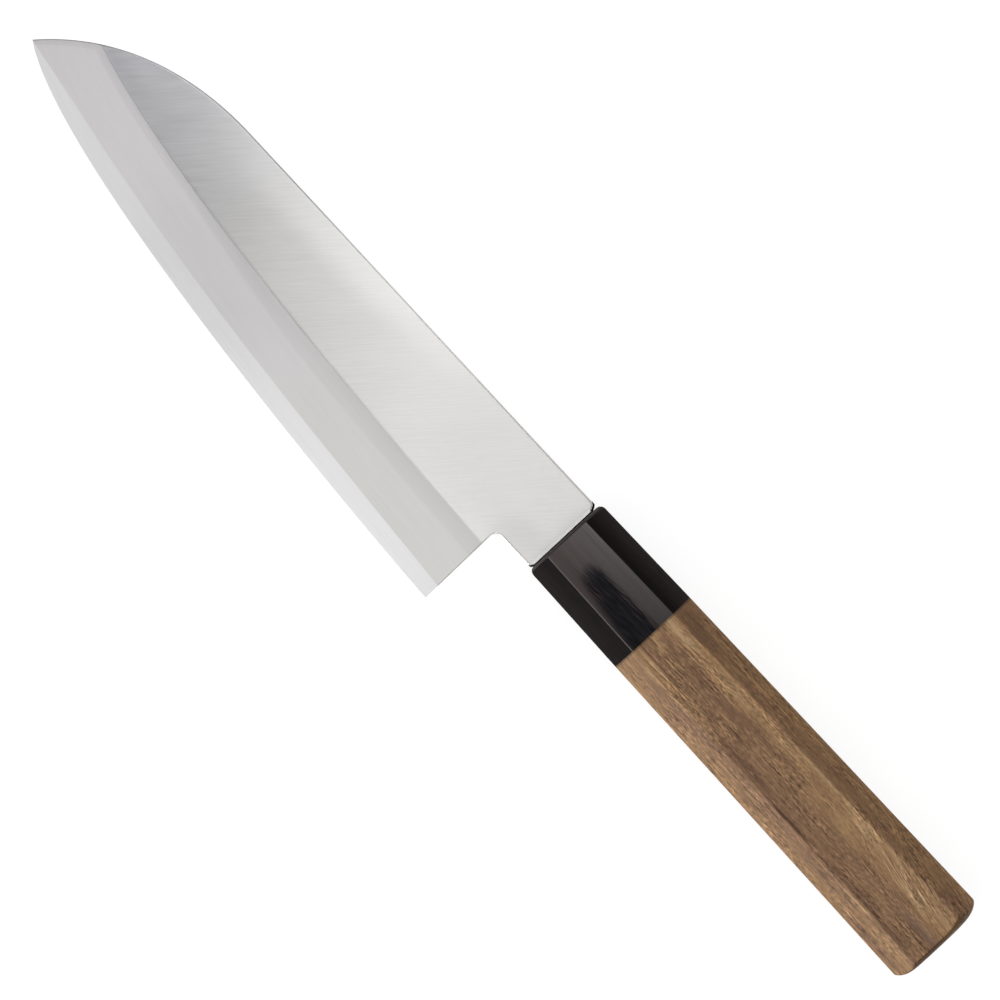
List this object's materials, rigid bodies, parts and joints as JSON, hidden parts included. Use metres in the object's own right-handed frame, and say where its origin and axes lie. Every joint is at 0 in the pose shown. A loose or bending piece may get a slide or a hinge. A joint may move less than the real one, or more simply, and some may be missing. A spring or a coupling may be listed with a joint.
{
  "type": "santoku kitchen knife",
  "caption": "Straight-spined kitchen knife with a rounded tip, a wide two-sided bevel and an octagonal wooden handle with a dark ferrule, lying on its side.",
  "frame": {"origin": "under the middle of the knife's bounding box, in the plane of the handle's lower facet", "axes": "+X from the tip to the butt, parallel to the spine; +Y from the cutting edge to the spine; +Z out of the left face of the blade, which is upwards as the knife lies on its right side"},
  "size_m": [0.313, 0.0478, 0.02],
  "materials": {
    "core_steel": "fine lengthwise brushing, ground to a keen edge",
    "clad_steel": "satin, brushed slantwise on the flats and lengthwise on the bevel",
    "seal_black": "smooth black bead",
    "ferrule_wood": "near-black laminated wood, polished",
    "dowel_wood": "plain turned hardwood, unseen",
    "adhesive": "set resin, unseen",
    "walnut": "oiled open-grained walnut, satin"
  },
  "bodies": {
    "root": {"core_steel": "core_steel", "cladding_left": "clad_steel", "cladding_right": "clad_steel", "blade_seal": "seal_black", "ferrule": "ferrule_wood", "ferrule_dowel": "dowel_wood", "tang_adhesive": "adhesive", "handle_body": "walnut"}
  },
  "joints": []
}
